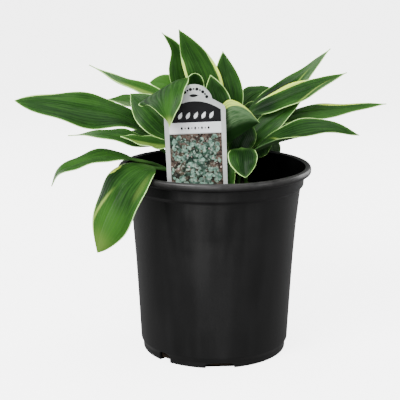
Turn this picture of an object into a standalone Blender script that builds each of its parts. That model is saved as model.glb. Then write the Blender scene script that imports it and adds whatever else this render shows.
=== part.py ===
"""A potted hosta: nursery pot, soil, plant label and thirty-three leaves.

Sizes are in millimetres and become metres when the meshes are made. The origin
is the middle of the pot's underside, +Z is up and -Y is the side of the label.
"""
import math

import bmesh
import bpy
import numpy as np

MM = 0.001
GAP = 0.3                 # clearance between pieces that touch on the real plant

# Pot
POT_HEIGHT = 166.4
LIP_RADIUS = 85.0
LIP_DROP = 6.4            # height of the rolled lip's outer face
LIP_TOP = 4.4             # width of the lip's top
COLLAR_RADIUS = 79.0      # stacking collar below the lip
COLLAR_FOOT = 150.0       # height at which the collar ends
COLLAR_NECK = 75.8        # radius just below the collar
BARREL = ((67.8, 45), (70.0, 84), (72.3, 115), (74.6, 137))   # outer radius at a height
STEP_HEIGHT = 9.4         # top of the small step round the base
STEP_OUT = 2.0            # how far the step stands out past the base
BASE_RADIUS = 64.0
BASE_CORNER = 1.4
WALL = 1.5
FLOOR = 1.8
POT_SIDES = 40

# Arched drain openings through the corner of the base: direction, width, height, depth
TALL_DRAIN = (12.5, 9.0, 11.0)
WIDE_DRAIN = (25.0, 5.0, 5.5)
DRAINS = ((227, *TALL_DRAIN), (274, *WIDE_DRAIN), (47, *TALL_DRAIN), (94, *WIDE_DRAIN))

# Soil
SOIL_LEVEL = 138.0
SOIL_LUMP = 1.3
SOIL_CLEAR = 0.4          # room between the soil and the pot's slanting wall
SOIL_RINGS = (8, 20, 32, 45, 58, 66)

# Plant label
LABEL_Y = -45.0
LABEL_TIP_X = -12.6
LABEL_TIP_Z = 102.0
LABEL_LEAN = 2.3          # degrees, top towards -X
LABEL_LENGTH = 141.0
LABEL_WIDTH = 51.6
LABEL_THICK = 0.8
LABEL_ARCH = 15.4         # radius of the round top
LABEL_POINT = 26.0        # height of the pointed foot
LABEL_POINT_IN = 6.5      # how much narrower than the card the foot's top is
LABEL_SHOULDER = 21.5     # drop from the top of the arch to the shoulders
ARCH_STEPS = 10
SLOT_TOP = 50.0           # up the label, well above the soil

# Leaves
BLADE_THICK = 0.8
STALK_THICK = 2.8
STALK_HALF = 1.6          # half width of a leaf stalk
STALK_DEPTH = 14.0        # how far a stalk stands in the soil
HOLE_RADIUS = 2.2
HOLE_SIDES = 8
STALK_ROWS = 6
BLADE_ROWS = 9
COLUMNS = 4
TIP_HALF = 0.4
OPENING = 12              # the larger, the sooner a blade opens out of its stalk
STALK_FADE = 10           # the larger, the sooner the stalk's thickness ends in the blade
WAVE_SHIFT = 0.37         # the right margin's waves come this part of a wave later


# --- leaf shapes -------------------------------------------------------------

def leaf(name, root, rib, half, face, belly=(0.42, 0.42), taper=(1.0, 1.0), fold=(12, 12),
         curl=(-14, -14), wave=(1.0, 2.5, 0.0), heart=0.2, stalk=()):
    """One leaf: where its stalk stands, the rib's points from blade base to tip,
    the half widths left and right of the rib (seen from the root, face up), the
    way its upper face looks at the base and at the tip, and its outline. Each half
    leaves the rib at the fold angle and turns by the curl angle until its margin."""
    return dict(name=name, root=root, rib=rib, half=half, face=face, belly=belly,
                taper=taper, fold=fold, curl=curl, wave=wave, heart=heart, stalk=stalk)


LEAVES = (
    # left side
    leaf("leaf_01_long_left", (-20, 4),
         ((-54, -6, 193), (-76, -13, 209), (-115, -22, 220), (-148, -28, 226), (-169, -30, 227)),
         (23, 15.5), ((0.2, -0.6, 0.75), (0.0, -0.6, 0.8)), belly=(0.58, 0.45), taper=(0.9, 0.85),
         wave=(3.0, 2.0, 0.81)),
    leaf("leaf_02_back_left", (-18, 13),
         ((-45, 42, 203), (-72, 46, 215), (-97, 46, 217)),
         (13, 11), ((0.2, -0.4, 0.9), (-0.1, -0.4, 0.9))),
    leaf("leaf_03_thin_tip", (-11, 4),
         ((-35, 12, 221), (-57, 14, 230), (-83, 10, 240), (-109, 5, 253)),
         (9, 5), ((0.4, -0.6, 0.7), (0.2, -0.7, 0.6)), belly=(0.35, 0.35), taper=(1.6, 1.6),
         fold=(18, 18)),
    leaf("leaf_04_curled", (-10, 14),
         ((-23, 30, 204), (-31, 33, 223), (-44, 33, 233), (-58, 32, 234)),
         (11, 11), ((0.4, -0.8, 0.4), (0.1, -0.8, 0.6)), belly=(0.5, 0.5), taper=(0.8, 0.8)),
    leaf("leaf_05_over_label", (-4, -17),
         ((-27, -24, 243), (-33, -42, 244), (-36, -54, 234), (-38, -60, 221), (-38, -63, 210)),
         (11, 41), ((-0.35, -0.3, 0.9), (-0.4, -0.85, 0.4)), belly=(0.4, 0.42), taper=(0.9, 2.0),
         fold=(0, -12), heart=0.0,
         stalk=((-17, -15, 208),)),
    leaf("leaf_06_behind_label", (-4, -9),
         ((-14, -6, 222), (-17, -5, 236), (-17, -8, 247.5)),
         (8, 8), ((0.0, -1.0, 0.1), (0.0, -1.0, 0.3)), belly=(0.6, 0.6), taper=(0.5, 0.5)),
    leaf("leaf_07_left_of_label", (-12, -12),
         ((-34, -13, 188), (-50, -12, 209), (-64, -7, 222), (-73, -2, 229)),
         (15.5, 17), ((-0.2, -0.8, 0.6), (-0.3, -0.8, 0.5)), belly=(0.52, 0.42)),
    leaf("leaf_08_low_left", (-19, -4),
         ((-52, -20, 187), (-72, -33, 195), (-97, -41, 200), (-123, -46, 200)),
         (11, 11), ((0.2, -0.5, 0.9), (-0.1, -0.4, 0.9)), belly=(0.33, 0.35), taper=(2.1, 1.9)),
    leaf("leaf_09_front_left", (-10, -20),
         ((-38, -30, 189), (-57, -38, 194), (-79, -50, 200)),
         (12, 7), ((0.1, -0.4, 0.9), (0.0, -0.4, 0.9))),
    leaf("leaf_10_inner_right", (16.5, -19),
         ((17, -19, 170), (22, -18, 187), (30, -15, 205)),
         (10, 11), ((0.0, -1.0, 0.2), (0.0, -1.0, 0.3)), belly=(0.5, 0.65), taper=(1.0, 0.7)),
    leaf("leaf_11_arching", (-18, -12),
         ((-69, -40, 178.5), (-91, -48, 182.5), (-114, -55, 178), (-131, -60, 170), (-136, -61, 160)),
         (13, 14), ((0.1, -0.25, 1.0), (-0.9, -0.3, 0.4)), belly=(0.5, 0.4), taper=(1.0, 1.0),
         stalk=((-43, -26, 168),)),
    leaf("leaf_12_over_rim", (-14, -22),
         ((-50, -45, 172), (-61, -56, 172.5), (-75, -65, 163), (-86, -67, 145), (-96, -65, 120),
          (-99, -61, 103)),
         (29.5, 22), ((-0.1, -0.35, 0.93), (-0.7, -0.7, 0.1)), belly=(0.54, 0.38), taper=(0.9, 0.9),
         fold=(6, 6), heart=0.35),
    # middle
    leaf("leaf_13_top_left", (-4, 8),
         ((-22, 20, 210), (-32, 21, 246), (-34, 18, 265), (-46, 15, 280)),
         (9, 11), ((-0.2, -0.9, 0.3), (-0.3, -0.9, 0.1)), belly=(0.35, 0.35), taper=(1.2, 1.1)),
    leaf("leaf_14_top_middle", (2, -3),
         ((0, 3, 208), (-8, 5, 244), (-19, 3, 266), (-31, 0, 284)),
         (17, 12.5), ((0.05, -0.95, 0.3), (0.0, -1.0, 0.1)), belly=(0.45, 0.36), fold=(8, 8)),
    leaf("leaf_15_top_right", (7, 3),
         ((18, 11, 205), (16, 12, 234), (11, 13, 251), (7, 14, 264)),
         (14, 8), ((0.1, -0.9, 0.3), (0.1, -1.0, 0.1)), belly=(0.55, 0.4)),
    leaf("leaf_16_behind_label", (4, -12),
         ((7, -17, 208), (0, -16, 232), (-4, -16, 247)),
         (11, 11), ((0.1, -0.9, 0.3), (0.1, -1.0, 0.1))),
    # right side
    leaf("leaf_17_cupped", (9, -18),
         ((11, -27, 189), (23, -37, 201), (36.5, -43, 210.5)),
         (10, 32.5), ((0.0, -0.2, 1.0), (0.0, -0.2, 1.0)), belly=(0.5, 0.6), taper=(0.9, 0.4),
         fold=(25, 50), curl=(-14, 75)),
    leaf("leaf_18_back_right", (12, 17),
         ((24, 38, 211), (37, 46, 221), (52, 50, 227)),
         (12, 12), ((-0.2, -0.6, 0.8), (-0.1, -0.6, 0.8))),
    leaf("leaf_19_upper_right", (15, 10),
         ((31, 16, 212), (46, 17, 224), (71, 17, 239), (101, 15, 266)),
         (7, 13), ((-0.3, -0.6, 0.7), (-0.3, -0.7, 0.6)), belly=(0.4, 0.4), taper=(1.2, 1.4)),
    leaf("leaf_20_right", (15, 1),
         ((28, 0, 209), (50, 0, 220), (78, 0, 232), (114, 0, 247)),
         (12, 12), ((-0.3, -0.6, 0.7), (-0.3, -0.6, 0.7)), taper=(1.3, 1.3)),
    leaf("leaf_21_pointing_right", (14, -12),
         ((27, -7, 182), (42, -4, 200), (61, -3, 214), (75, -3, 223)),
         (9, 12), ((-0.4, -0.8, 0.5), (-0.4, -0.8, 0.5)), belly=(0.4, 0.4)),
    leaf("leaf_22_long_right", (21, 5),
         ((38, 8, 197), (75, 10, 210), (114, 8, 215), (150, 5, 219)),
         (8, 15), ((-0.1, -0.45, 0.9), (0.0, -0.4, 0.9)), belly=(0.45, 0.45), taper=(1.0, 1.3)),
    leaf("leaf_23_low_right", (20, -8),
         ((31, -26, 181), (49, -34, 191), (71, -39, 198), (92, -41, 202), (121, -39, 199)),
         (21, 22), ((-0.1, -0.1, 1.0), (0.1, -0.3, 1.0)), belly=(0.45, 0.45), fold=(28, 28)),
    leaf("leaf_24_back_rim", (14, 22),
         ((25, 46, 182), (41, 67, 180), (55, 84, 168), (61, 91, 146)),
         (12, 12), ((0.0, 0.0, 1.0), (0.6, 0.8, 0.2))),
    leaf("leaf_25_front_heart", (12, -25),
         ((23, -38, 187), (23.5, -50, 179.5), (25, -57, 166.5)),
         (12, 13), ((0.0, -0.3, 1.0), (0.0, -1.0, 0.2)), belly=(0.38, 0.38), taper=(0.8, 0.8),
         heart=0.35),
    leaf("leaf_26_front", (5, -26),
         ((8, -35, 187), (10, -39, 176), (14, -42, 150)),
         (6, 6), ((0.0, -0.3, 1.0), (0.0, -1.0, 0.2))),
    leaf("leaf_33_low_inner", (28, 10),
         ((34, 14, 171), (41, 17, 177), (52, 19, 182)),
         (7, 8), ((-0.2, -1.0, 0.3), (-0.2, -1.0, 0.4))),
    # back
    leaf("leaf_27_back", (2, 20),
         ((5, 45, 188), (9, 80, 198), (12, 112, 190), (12, 135, 172)),
         (24, 24), ((0.0, 0.0, 1.0), (0.0, 0.5, 0.9)), heart=0.3),
    leaf("leaf_28_back_left", (-12, 22),
         ((-30, 45, 188), (-52, 75, 196), (-66, 98, 186), (-72, 112, 170)),
         (19, 19), ((0.0, 0.0, 1.0), (-0.3, 0.4, 0.9)), heart=0.3),
    leaf("leaf_29_back_right", (21, 14),
         ((36, 32, 182), (58, 54, 190), (78, 76, 188), (90, 92, 176)),
         (17, 17), ((0.0, 0.0, 1.0), (0.3, 0.4, 0.9)), heart=0.3),
    leaf("leaf_30_back_upright", (-4, 17),
         ((-3, 26, 208), (-8, 40, 232), (-12, 54, 248)),
         (13, 13), ((0.0, -0.6, 0.8), (0.0, -0.7, 0.7))),
    leaf("leaf_31_back_side", (6, 13),
         ((23, 20, 201), (36, 24, 209), (54, 28, 212)),
         (12, 14), ((-0.2, -0.6, 0.8), (-0.1, -0.6, 0.8))),
    leaf("leaf_32_back_low", (-20, 20),
         ((-42, 34, 176), (-66, 46, 184), (-88, 56, 184)),
         (15, 15), ((0.0, 0.0, 1.0), (-0.2, 0.0, 1.0))),
)


def unit(vectors):
    """The same vectors at length one, along the last axis."""
    vectors = np.asarray(vectors, float)
    return vectors / np.linalg.norm(vectors, axis=-1, keepdims=True)


def smooth_curve(points, first_tangent, steps=24):
    """Dense points of a cubic curve through the given points, with the number of
    each given point among them. The curve leaves the first along first_tangent."""
    points = np.asarray(points, float)
    spans = np.linalg.norm(np.diff(points, axis=0), axis=1)
    slopes = np.diff(points, axis=0) / spans[:, None]
    tangents = np.empty_like(points)
    tangents[0] = first_tangent
    tangents[-1] = slopes[-1]
    for i in range(1, len(points) - 1):
        near, far = spans[i - 1], spans[i]
        tangents[i] = (slopes[i - 1] * far + slopes[i] * near) / (near + far)
    dense = [points[0]]
    for i, span in enumerate(spans):
        for step in range(1, steps + 1):
            t = step / steps
            dense.append((2 * t**3 - 3 * t**2 + 1) * points[i]
                         + (t**3 - 2 * t**2 + t) * span * tangents[i]
                         + (3 * t**2 - 2 * t**3) * points[i + 1]
                         + (t**3 - t**2) * span * tangents[i + 1])
    return np.array(dense), [i * steps for i in range(len(points))]


def even_points(line, count):
    """count + 1 points at equal distances along a dense line."""
    walked = np.concatenate(([0], np.cumsum(np.linalg.norm(np.diff(line, axis=0), axis=1))))
    wanted = np.linspace(0, walked[-1], count + 1)
    return np.column_stack([np.interp(wanted, walked, line[:, axis]) for axis in range(3)])


def outline(s, belly, taper):
    """Half width of a blade at s, from 0 at its base to 1 at its tip; 1 at the belly."""
    rise = taper * belly / (1 - belly)
    return (s / belly)**rise * ((1 - s) / (1 - belly))**taper


def rolled(reach, full, fold, curl):
    """How far out and how far up a blade's half has come at a reach from the rib. Its
    slope goes from the fold to fold + curl, in degrees, at the full reach."""
    start, turn = math.radians(fold), math.radians(curl)
    if abs(turn) < 0.001:
        return reach * math.cos(start), reach * math.sin(start)
    end = start + turn * reach / full
    return (full / turn * (math.sin(end) - math.sin(start)),
            full / turn * (math.cos(start) - math.cos(end)))


def leaf_frame(centres, faces, blade_start):
    """Right-hand and upward directions of every row. Along the blade the upward one
    follows the given faces, and down the stalk it is carried on without a twist."""
    tangents = unit(np.gradient(centres, axis=0))
    rights = np.empty_like(centres)
    for row in range(blade_start, len(centres)):
        rights[row] = unit(np.cross(tangents[row], faces[row - blade_start]))
    for row in range(blade_start - 1, -1, -1):
        carried = rights[row + 1] - tangents[row] * np.dot(rights[row + 1], tangents[row])
        rights[row] = unit(carried)
    return tangents, rights, np.cross(rights, tangents)


def leaf_sheet(leaf, stalk_rows, blade_rows, columns):
    """The leaf's middle surface as a grid of points, its normals and thicknesses."""
    x, y = leaf["root"]
    root_top = (x, y, SOIL_LEVEL + 2)
    points = [root_top, *leaf["stalk"], *leaf["rib"]]
    dense, marks = smooth_curve(points, (0, 0, 1))
    base = marks[1 + len(leaf["stalk"])]
    stalk = even_points(dense[:base + 1], stalk_rows - 1)
    blade = even_points(dense[base:], blade_rows)
    foot = np.array([[x, y, SOIL_LEVEL - STALK_DEPTH]])
    centres = np.vstack([foot, stalk, blade[1:]])
    along = np.concatenate([np.zeros(stalk_rows), np.linspace(0, 1, blade_rows + 1)])
    blade_s = along[stalk_rows:, None]
    faces = (1 - blade_s) * np.array(leaf["face"][0]) + blade_s * np.array(leaf["face"][1])
    tangents, rights, ups = leaf_frame(centres, faces, stalk_rows)

    across = np.linspace(-1, 1, columns + 1)
    sheet = np.empty((len(centres), columns + 1, 3))
    thick = np.empty((len(centres), columns + 1))
    size, beats, phase = leaf["wave"]
    for row, s in enumerate(along):
        in_blade = row > stalk_rows
        spread = 1 - (1 - s)**OPENING if in_blade else 0.0
        stout = (1 - s)**STALK_FADE if in_blade else 1.0
        for column, a in enumerate(across):
            side = 0 if a < 0 else 1
            full = STALK_HALF * stout + TIP_HALF * (1 - stout)
            if in_blade:
                open_half = leaf["half"][side] * outline(s, leaf["belly"][side], leaf["taper"][side])
                full = max(full, open_half)
            reach = full * abs(a)
            out, lift = rolled(reach, full, leaf["fold"][side] * spread, leaf["curl"][side] * spread)
            ripple = size * spread * math.sin(math.pi * s) * a * a
            ripple *= math.sin(2 * math.pi * (beats * s + phase + WAVE_SHIFT * side))
            back = leaf["heart"] * reach * abs(a) * (1 - s)**5 * spread
            sheet[row, column] = (centres[row] + rights[row] * math.copysign(out, a)
                                  + ups[row] * (lift + ripple) - tangents[row] * back)
            rounding = 1 - 0.5 * a * a
            thick[row, column] = BLADE_THICK * (1 - stout) + STALK_THICK * rounding * stout
    normals = unit(np.cross(np.gradient(sheet, axis=1), np.gradient(sheet, axis=0)))
    return sheet, normals, thick


def leaf_mesh(leaf, stalk_rows=STALK_ROWS, blade_rows=BLADE_ROWS, columns=COLUMNS):
    """Vertices and triangles of a closed leaf. Both faces are split alike, so that
    they never cross however the blade waves."""
    sheet, normals, thick = leaf_sheet(leaf, stalk_rows, blade_rows, columns)
    rows = len(sheet)
    width = columns + 1
    offset = normals * thick[..., None] / 2
    vertices = np.concatenate([(sheet + offset).reshape(-1, 3), (sheet - offset).reshape(-1, 3)])
    below = rows * width

    def corner(row, column):
        return row * width + column

    faces = []
    for row in range(rows - 1):
        for column in range(columns):
            a, b = corner(row, column), corner(row, column + 1)
            c, d = corner(row + 1, column + 1), corner(row + 1, column)
            halves = ((a, b, c), (a, c, d)) if column < columns / 2 else ((a, b, d), (b, c, d))
            for p, q, r in halves:
                faces.append((p, q, r))
                faces.append((r + below, q + below, p + below))
        for column in (0, columns):
            a, d = corner(row, column), corner(row + 1, column)
            faces.append((a, d, d + below) if column == 0 else (d, a, d + below))
            faces.append((a, d + below, a + below) if column == 0 else (d + below, a, a + below))
    for row in (0, rows - 1):
        for column in range(columns):
            a, b = corner(row, column), corner(row, column + 1)
            faces.append((b, a, a + below) if row == 0 else (a, b, a + below))
            faces.append((b, a + below, b + below) if row == 0 else (b, b + below, a + below))
    return vertices, faces


# --- pot, soil and label -----------------------------------------------------

def pot_outside():
    """Radius and height up the outside, from the middle of the floor to the lip."""
    corner = []
    for step in range(4):
        turn = math.radians(90 * step / 3)
        corner.append((BASE_RADIUS - BASE_CORNER * (1 - math.sin(turn)),
                       BASE_CORNER * (1 - math.cos(turn))))
    lip_low = POT_HEIGHT - LIP_DROP
    return ([(0, 0)] + corner
            + [(BASE_RADIUS + 0.1, STEP_HEIGHT - 3.6), (BASE_RADIUS + STEP_OUT, STEP_HEIGHT),
               *BARREL, (COLLAR_NECK, COLLAR_FOOT - 2.4), (COLLAR_RADIUS - 0.6, COLLAR_FOOT),
               (COLLAR_RADIUS, lip_low - 1.2),
               (LIP_RADIUS - 2.2, lip_low), (LIP_RADIUS - 0.4, lip_low + 0.6),
               (LIP_RADIUS, lip_low + 2.6), (LIP_RADIUS - 0.3, POT_HEIGHT - 1.2),
               (LIP_RADIUS - 1.4, POT_HEIGHT)])


def pot_inside():
    """Radius and height down the inside, from the lip to the middle of the floor."""
    mouth = LIP_RADIUS - LIP_TOP
    barrel = [(radius - WALL, height) for radius, height in reversed(BARREL)]
    return ([(mouth, POT_HEIGHT), (mouth - 1.2, POT_HEIGHT - 1.6),
             (COLLAR_RADIUS - WALL, POT_HEIGHT - 7), (COLLAR_RADIUS - WALL - 0.5, COLLAR_FOOT + 0.6),
             (COLLAR_NECK - WALL, COLLAR_FOOT - 3)] + barrel
            + [(BASE_RADIUS + STEP_OUT - WALL, STEP_HEIGHT + 0.4), (BASE_RADIUS - 2.3, STEP_HEIGHT - 2.6),
               (BASE_RADIUS - 3.1, FLOOR), (0, FLOOR)])


def inner_radius(height):
    """Radius of the pot's inside at a height."""
    wall = sorted((z, r) for r, z in pot_inside()[:-1])
    return float(np.interp(height, [z for z, _ in wall], [r for _, r in wall]))


def turned(profile, sides=POT_SIDES):
    """A closed body of revolution; the profile starts and ends on the axis."""
    rings = profile[1:-1]
    vertices = [(0, 0, profile[0][1])]
    for radius, height in rings:
        for side in range(sides):
            turn = 2 * math.pi * side / sides
            vertices.append((radius * math.cos(turn), radius * math.sin(turn), height))
    vertices.append((0, 0, profile[-1][1]))
    last = len(vertices) - 1
    faces = []
    for side in range(sides):
        after = (side + 1) % sides
        faces.append((0, 1 + after, 1 + side))
        for ring in range(len(rings) - 1):
            low, high = 1 + ring * sides, 1 + (ring + 1) * sides
            faces.append((low + side, low + after, high + after, high + side))
        top = 1 + (len(rings) - 1) * sides
        faces.append((top + side, top + after, last))
    return vertices, faces


def soil_height(x, y):
    """Height of the soil's surface, gently lumpy and a little higher round the crown."""
    lumps = math.sin(x / 9.0 + 0.6) * math.cos(y / 7.0) + 0.6 * math.sin(x / 4.5 - y / 5.5)
    crown = 2.0 * math.exp(-(x * x + y * y) / 900)
    return SOIL_LEVEL - 1.5 + SOIL_LUMP * 0.6 * lumps + crown


def soil_mesh():
    """The root ball, following the pot's inside at a small clearance."""
    heights = [FLOOR + GAP] + sorted(z for _, z in pot_inside() if FLOOR < z < SOIL_LEVEL - 8)
    side_wall = [(inner_radius(height) - SOIL_CLEAR, height) for height in heights + [SOIL_LEVEL - 4]]
    top = [(radius, SOIL_LEVEL - 1.5) for radius in reversed(SOIL_RINGS)]
    profile = [(0, FLOOR + GAP)] + side_wall + top + [(0, SOIL_LEVEL)]
    vertices, faces = turned(profile)
    surface = 1 + len(side_wall) * POT_SIDES
    raised = [(x, y, soil_height(x, y)) for x, y, _ in vertices[surface:]]
    return vertices[:surface] + raised, faces


def prism(x, y, radius, low, high, sides):
    """A closed upright prism."""
    ring = []
    for side in range(sides):
        turn = 2 * math.pi * (side + 0.5) / sides
        ring.append((x + radius * math.cos(turn), y + radius * math.sin(turn)))
    vertices = [(px, py, low) for px, py in ring] + [(px, py, high) for px, py in ring]
    faces = [tuple(reversed(range(sides))), tuple(range(sides, 2 * sides))]
    for side in range(sides):
        after = (side + 1) % sides
        faces.append((side, after, sides + after, sides + side))
    return vertices, faces


def soil_holes():
    """One plain hole for each stalk, as a single cutter."""
    vertices, faces = [], []
    for item in LEAVES:
        x, y = item["root"]
        more, ring = prism(x, y, HOLE_RADIUS, SOIL_LEVEL - STALK_DEPTH - GAP, SOIL_LEVEL + 8, HOLE_SIDES)
        faces += [tuple(i + len(vertices) for i in face) for face in ring]
        vertices += more
    return vertices, faces


def label_outline():
    """Outline of the label from its lower tip, counter-clockwise seen from -Y."""
    half = LABEL_WIDTH / 2
    shoulder = LABEL_LENGTH - LABEL_SHOULDER
    right = [(0, 0), (half - LABEL_POINT_IN, LABEL_POINT), (half - 0.6, LABEL_POINT + 10),
             (half, shoulder), (half - 0.7, shoulder + 2.5), (half - 2.6, shoulder + 4.2),
             (LABEL_ARCH + 1.6, shoulder + 7.9)]
    centre = LABEL_LENGTH - LABEL_ARCH
    arch = []
    for step in range(ARCH_STEPS + 1):
        turn = math.radians(10 + 160 * step / ARCH_STEPS)
        arch.append((LABEL_ARCH * math.cos(turn), centre + LABEL_ARCH * math.sin(turn)))
    left = [(-x, z) for x, z in reversed(right[1:])]
    return right + arch + left


def place_label(x, y, z):
    """From the label's own frame, with its tip at the origin, to the part's frame."""
    lean = math.radians(LABEL_LEAN)
    return (LABEL_TIP_X + x * math.cos(lean) - z * math.sin(lean), LABEL_Y + y,
            LABEL_TIP_Z + x * math.sin(lean) + z * math.cos(lean))


def plate(points, y_front, y_back):
    """A flat plate of the outline's points between two depths, in the label's place."""
    count = len(points)
    vertices = [place_label(x, y_front, z) for x, z in points]
    vertices += [place_label(x, y_back, z) for x, z in points]
    faces = [tuple(range(count)), tuple(reversed(range(count, 2 * count)))]
    for i in range(count):
        after = (i + 1) % count
        faces.append((after, i, count + i, count + after))
    return vertices, faces


def label_slot():
    """Cutter for the slot that the label stands in."""
    half = LABEL_WIDTH / 2 + GAP
    room = LABEL_THICK / 2 + GAP
    foot = half - LABEL_POINT_IN + 0.2
    points = [(0, -1.2), (foot, LABEL_POINT - 0.6), (half, LABEL_POINT + 9.6), (half, SLOT_TOP),
              (-half, SLOT_TOP), (-half, LABEL_POINT + 9.6), (-foot, LABEL_POINT - 0.6)]
    return plate(points, -room, room)


# --- objects -----------------------------------------------------------------

def material(name, colour, roughness):
    """A Principled material of one colour."""
    made = bpy.data.materials.new(name)
    made.use_nodes = True
    shader = made.node_tree.nodes["Principled BSDF"]
    shader.inputs["Base Color"].default_value = (*colour, 1)
    shader.inputs["Roughness"].default_value = roughness
    return made


def add_object(name, shape, finish=None, smooth_angle=None):
    """A mesh object from points in millimetres, with its faces pointing out."""
    vertices, faces = shape
    mesh = bpy.data.meshes.new(name)
    mesh.from_pydata([[float(value) * MM for value in point] for point in vertices], [], faces)
    work = bmesh.new()
    work.from_mesh(mesh)
    bmesh.ops.recalc_face_normals(work, faces=work.faces)
    work.to_mesh(mesh)
    work.free()
    made = bpy.data.objects.new(name, mesh)
    bpy.context.scene.collection.objects.link(made)
    if finish:
        mesh.materials.append(finish)
    if smooth_angle:
        mesh.shade_smooth()
        mesh.set_sharp_from_angle(angle=math.radians(smooth_angle))
    return made


def cut(target, cutter):
    """Take the cutter's shape out of the target."""
    cutter.hide_render = True
    cutter.display_type = "WIRE"
    boolean = target.modifiers.new("cut_" + cutter.name, "BOOLEAN")
    boolean.operation = "DIFFERENCE"
    boolean.solver = "EXACT"
    boolean.object = cutter


def drain_cutter(direction, width, height, depth):
    """A squarish arch through the corner of the base, standing below the floor."""
    turn = math.radians(direction)
    steps = 6
    squareness = 0.6          # 1 is a half ellipse, 0 a rectangle
    below = -4
    arch = [(width / 2, below), (-width / 2, below)]
    for step in range(steps + 1):
        angle = math.pi * (1 - step / steps)
        side = math.copysign(abs(math.cos(angle))**squareness, math.cos(angle))
        arch.append((side * width / 2, height * math.sin(angle)**squareness))
    vertices = []
    for reach in (BASE_RADIUS - depth, BASE_RADIUS + 6):
        for shift, z in arch:
            vertices.append((math.cos(turn) * reach - math.sin(turn) * shift,
                             math.sin(turn) * reach + math.cos(turn) * shift, z))
    count = len(arch)
    faces = [tuple(range(count)), tuple(reversed(range(count, 2 * count)))]
    for i in range(count):
        after = (i + 1) % count
        faces.append((after, i, count + i, count + after))
    return vertices, faces


def main():
    """Clear the scene and build every piece."""
    for old in list(bpy.data.objects):
        bpy.data.objects.remove(old, do_unlink=True)
    black = material("black_plastic", (0.012, 0.012, 0.013), 0.45)
    earth = material("potting_soil", (0.02, 0.013, 0.008), 0.95)
    card = material("label_plastic", (0.8, 0.82, 0.82), 0.4)
    green = material("hosta_leaf", (0.05, 0.16, 0.035), 0.4)

    pot = add_object("pot", turned(pot_outside() + pot_inside()), black, 40)
    for number, drain in enumerate(DRAINS, 1):
        cut(pot, add_object("drain_cutter_%d" % number, drain_cutter(*drain)))
    soil = add_object("soil", soil_mesh(), earth, 60)
    cut(soil, add_object("stalk_hole_cutter", soil_holes()))
    cut(soil, add_object("label_slot_cutter", label_slot()))
    half_thick = LABEL_THICK / 2
    add_object("plant_label", plate(label_outline(), -half_thick, half_thick), card)
    for item in LEAVES:
        add_object(item["name"], leaf_mesh(item), green, 50)


main()
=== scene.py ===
"""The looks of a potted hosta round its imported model: fine leaves with veins and cream
margins, a smooth moulded pot, crumbly soil, a printed label, light and camera.

Lengths are in millimetres and become metres when the meshes are made.
"""

import math
import random

import bmesh
import bpy
import numpy as np
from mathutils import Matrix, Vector, noise


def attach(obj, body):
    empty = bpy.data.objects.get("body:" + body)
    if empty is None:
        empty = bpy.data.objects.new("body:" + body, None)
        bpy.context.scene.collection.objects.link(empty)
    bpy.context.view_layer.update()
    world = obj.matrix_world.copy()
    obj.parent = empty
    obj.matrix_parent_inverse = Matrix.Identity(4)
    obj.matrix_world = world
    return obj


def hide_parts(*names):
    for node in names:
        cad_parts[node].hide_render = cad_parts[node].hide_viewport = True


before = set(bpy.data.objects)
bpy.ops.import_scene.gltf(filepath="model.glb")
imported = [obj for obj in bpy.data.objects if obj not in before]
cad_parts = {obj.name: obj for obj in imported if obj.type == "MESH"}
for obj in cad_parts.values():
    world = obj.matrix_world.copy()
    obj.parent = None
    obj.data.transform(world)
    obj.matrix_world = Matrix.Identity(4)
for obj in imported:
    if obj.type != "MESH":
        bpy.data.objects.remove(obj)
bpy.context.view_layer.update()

MM = 0.001
GAP = 0.3  # between pieces that lie on each other

# Camera
CAMERA_PLACE = (-12.82, -1000.0, 369.78)
CAMERA_PITCH = 13.269  # degrees below level
LENS = 104.38

# Pot
POT_HEIGHT = 166.4
LIP_RADIUS = 85.0
LIP_DROP = 6.4  # height of the rolled lip's outer face
LIP_TOP = 4.4  # width of the lip's top
COLLAR_RADIUS = 79.0  # stacking collar below the lip
COLLAR_FOOT = 150.0  # height at which the collar ends
COLLAR_NECK = 75.8  # radius just below the collar
BARREL = ((67.8, 45), (70.0, 84), (72.3, 115), (74.6, 137))  # outer radius at a height
STEP_HEIGHT = 9.4  # top of the small step round the base
STEP_OUT = 2.0  # how far the step stands out past the base
BASE_RADIUS = 64.0
BASE_CORNER = 1.4
WALL = 1.5
FLOOR = 1.8
POT_SIDES = 160
CORNER_ROUND = 0.9  # rounding of the moulded corners
ROUND_STEPS = 4
FOOT_POINTS = 5  # points of the outside up to the end of the base's corner
LIP_POINTS = 3  # points of the outside that round the lip

# Arched drain openings through the corner of the base: direction, width, height, depth
TALL_DRAIN = (12.5, 9.0, 11.0)
WIDE_DRAIN = (25.0, 5.0, 5.5)
DRAINS = ((227, *TALL_DRAIN), (274, *WIDE_DRAIN), (47, *TALL_DRAIN), (94, *WIDE_DRAIN))

# Soil
SOIL_LEVEL = 138.0
SOIL_LUMP = 1.3
SOIL_CLEAR = 0.4
SOIL_RADIUS = 70.0  # edge of the lumpy top
SOIL_SIDES = 144
SOIL_RINGS = 46
CRUMBS = 420

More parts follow.
